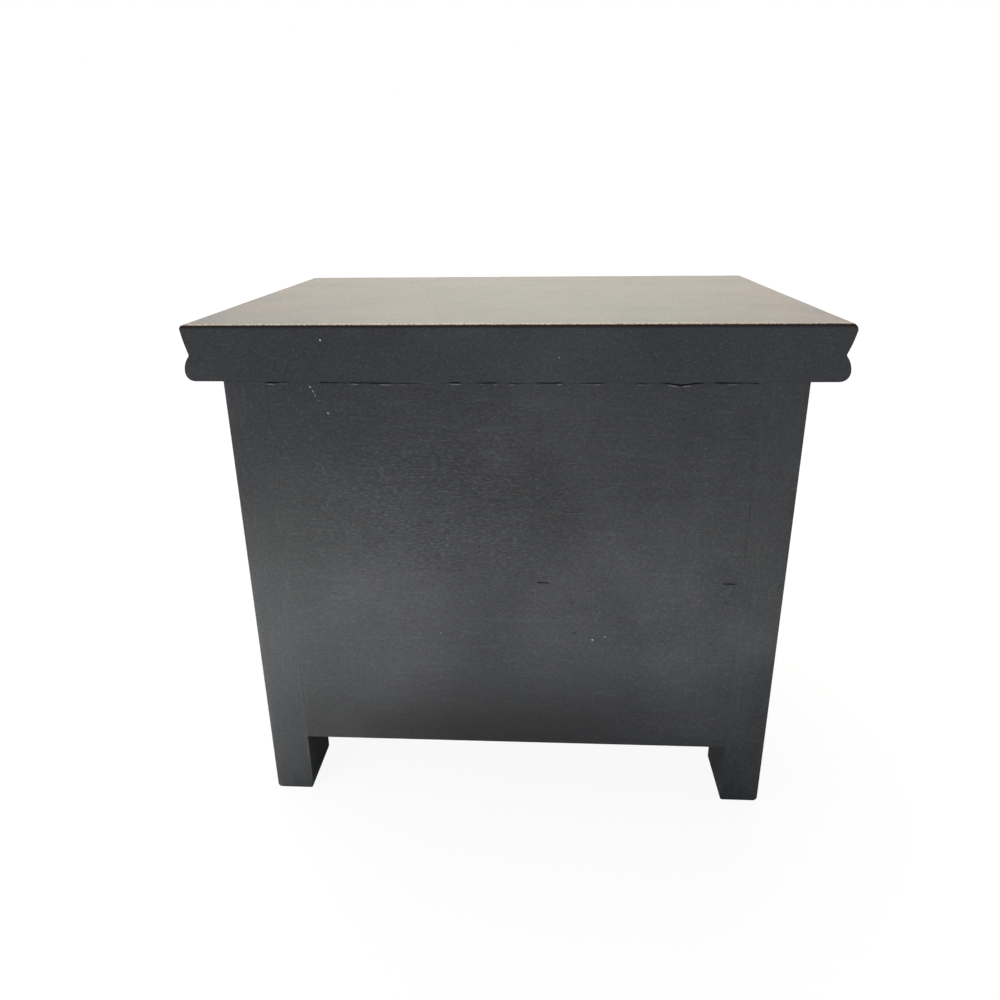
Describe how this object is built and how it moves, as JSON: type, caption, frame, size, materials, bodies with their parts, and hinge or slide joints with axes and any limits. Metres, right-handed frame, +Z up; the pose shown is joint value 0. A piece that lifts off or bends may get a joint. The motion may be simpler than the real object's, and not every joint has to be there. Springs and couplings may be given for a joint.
{
  "type": "spice drawer box",
  "caption": "Tabletop chest of small sliding drawers with turned knobs, a moulded overhanging top and cut-out bracket feet.",
  "frame": {"origin": "on the floor plane under the feet, under the middle of the overall box (moulded top included)", "axes": "+X to the right as seen from the drawers, +Y towards the plain back, +Z up; the drawers pull out along -Y"},
  "size_m": [0.2378, 0.1756, 0.204],
  "materials": {
    "painted_wood": "charcoal paint, satin, worn at the edges",
    "painted_drawer_wood": "charcoal paint, satin, worn at the edges",
    "inner_wood": "bare sanded softwood, painted on its front edge",
    "drawer_wood": "bare sanded wood",
    "drawer_plywood": "thin plywood, sanded",
    "steel_wire": "plain wire, slightly dulled",
    "screw_steel": "plated, slightly dulled"
  },
  "bodies": {
    "case": {"back_panel": "painted_wood", "back_staples": "steel_wire", "bottom_board": "painted_wood", "middle_shelf": "inner_wood", "partition_left": "inner_wood", "partition_right": "inner_wood", "side_left": "painted_wood", "side_right": "painted_wood", "top_board": "painted_wood", "top_rail_back": "inner_wood", "top_rail_front": "inner_wood", "top_screws": "screw_steel"},
    "drawer_lower_left": {"drawer_lower_left_back": "drawer_wood", "drawer_lower_left_bottom": "drawer_plywood", "drawer_lower_left_brads": "steel_wire", "drawer_lower_left_front": "painted_drawer_wood", "drawer_lower_left_knob": "painted_drawer_wood", "drawer_lower_left_side_left": "drawer_wood", "drawer_lower_left_side_right": "drawer_wood"},
    "drawer_lower_middle": {"drawer_lower_middle_back": "drawer_wood", "drawer_lower_middle_bottom": "drawer_plywood", "drawer_lower_middle_brads": "steel_wire", "drawer_lower_middle_front": "painted_drawer_wood", "drawer_lower_middle_knob": "painted_drawer_wood", "drawer_lower_middle_side_left": "drawer_wood", "drawer_lower_middle_side_right": "drawer_wood"},
    "drawer_lower_right": {"drawer_lower_right_back": "drawer_wood", "drawer_lower_right_bottom": "drawer_plywood", "drawer_lower_right_brads": "steel_wire", "drawer_lower_right_front": "painted_drawer_wood", "drawer_lower_right_knob": "painted_drawer_wood", "drawer_lower_right_side_left": "drawer_wood", "drawer_lower_right_side_right": "drawer_wood"},
    "drawer_upper_left": {"drawer_upper_left_back": "drawer_wood", "drawer_upper_left_bottom": "drawer_plywood", "drawer_upper_left_brads": "steel_wire", "drawer_upper_left_front": "painted_drawer_wood", "drawer_upper_left_knob": "painted_drawer_wood", "drawer_upper_left_side_left": "drawer_wood", "drawer_upper_left_side_right": "drawer_wood"},
    "drawer_upper_middle": {"drawer_upper_middle_back": "drawer_wood", "drawer_upper_middle_bottom": "drawer_plywood", "drawer_upper_middle_brads": "steel_wire", "drawer_upper_middle_front": "painted_drawer_wood", "drawer_upper_middle_knob": "painted_drawer_wood", "drawer_upper_middle_side_left": "drawer_wood", "drawer_upper_middle_side_right": "drawer_wood"},
    "drawer_upper_right": {"drawer_upper_right_back": "drawer_wood", "drawer_upper_right_bottom": "drawer_plywood", "drawer_upper_right_brads": "steel_wire", "drawer_upper_right_front": "painted_drawer_wood", "drawer_upper_right_knob": "painted_drawer_wood", "drawer_upper_right_side_left": "drawer_wood", "drawer_upper_right_side_right": "drawer_wood"}
  },
  "joints": [
    {"name": "drawer_lower_left_slide", "type": "slide", "parent": "case", "child": "drawer_lower_left", "axis": [0, -1, 0], "range_m": [0, 0.12]},
    {"name": "drawer_lower_middle_slide", "type": "slide", "parent": "case", "child": "drawer_lower_middle", "axis": [0, -1, 0], "range_m": [0, 0.12]},
    {"name": "drawer_lower_right_slide", "type": "slide", "parent": "case", "child": "drawer_lower_right", "axis": [0, -1, 0], "range_m": [0, 0.12]},
    {"name": "drawer_upper_left_slide", "type": "slide", "parent": "case", "child": "drawer_upper_left", "axis": [0, -1, 0], "range_m": [0, 0.12]},
    {"name": "drawer_upper_middle_slide", "type": "slide", "parent": "case", "child": "drawer_upper_middle", "axis": [0, -1, 0], "range_m": [0, 0.12]},
    {"name": "drawer_upper_right_slide", "type": "slide", "parent": "case", "child": "drawer_upper_right", "axis": [0, -1, 0], "range_m": [0, 0.12]}
  ]
}
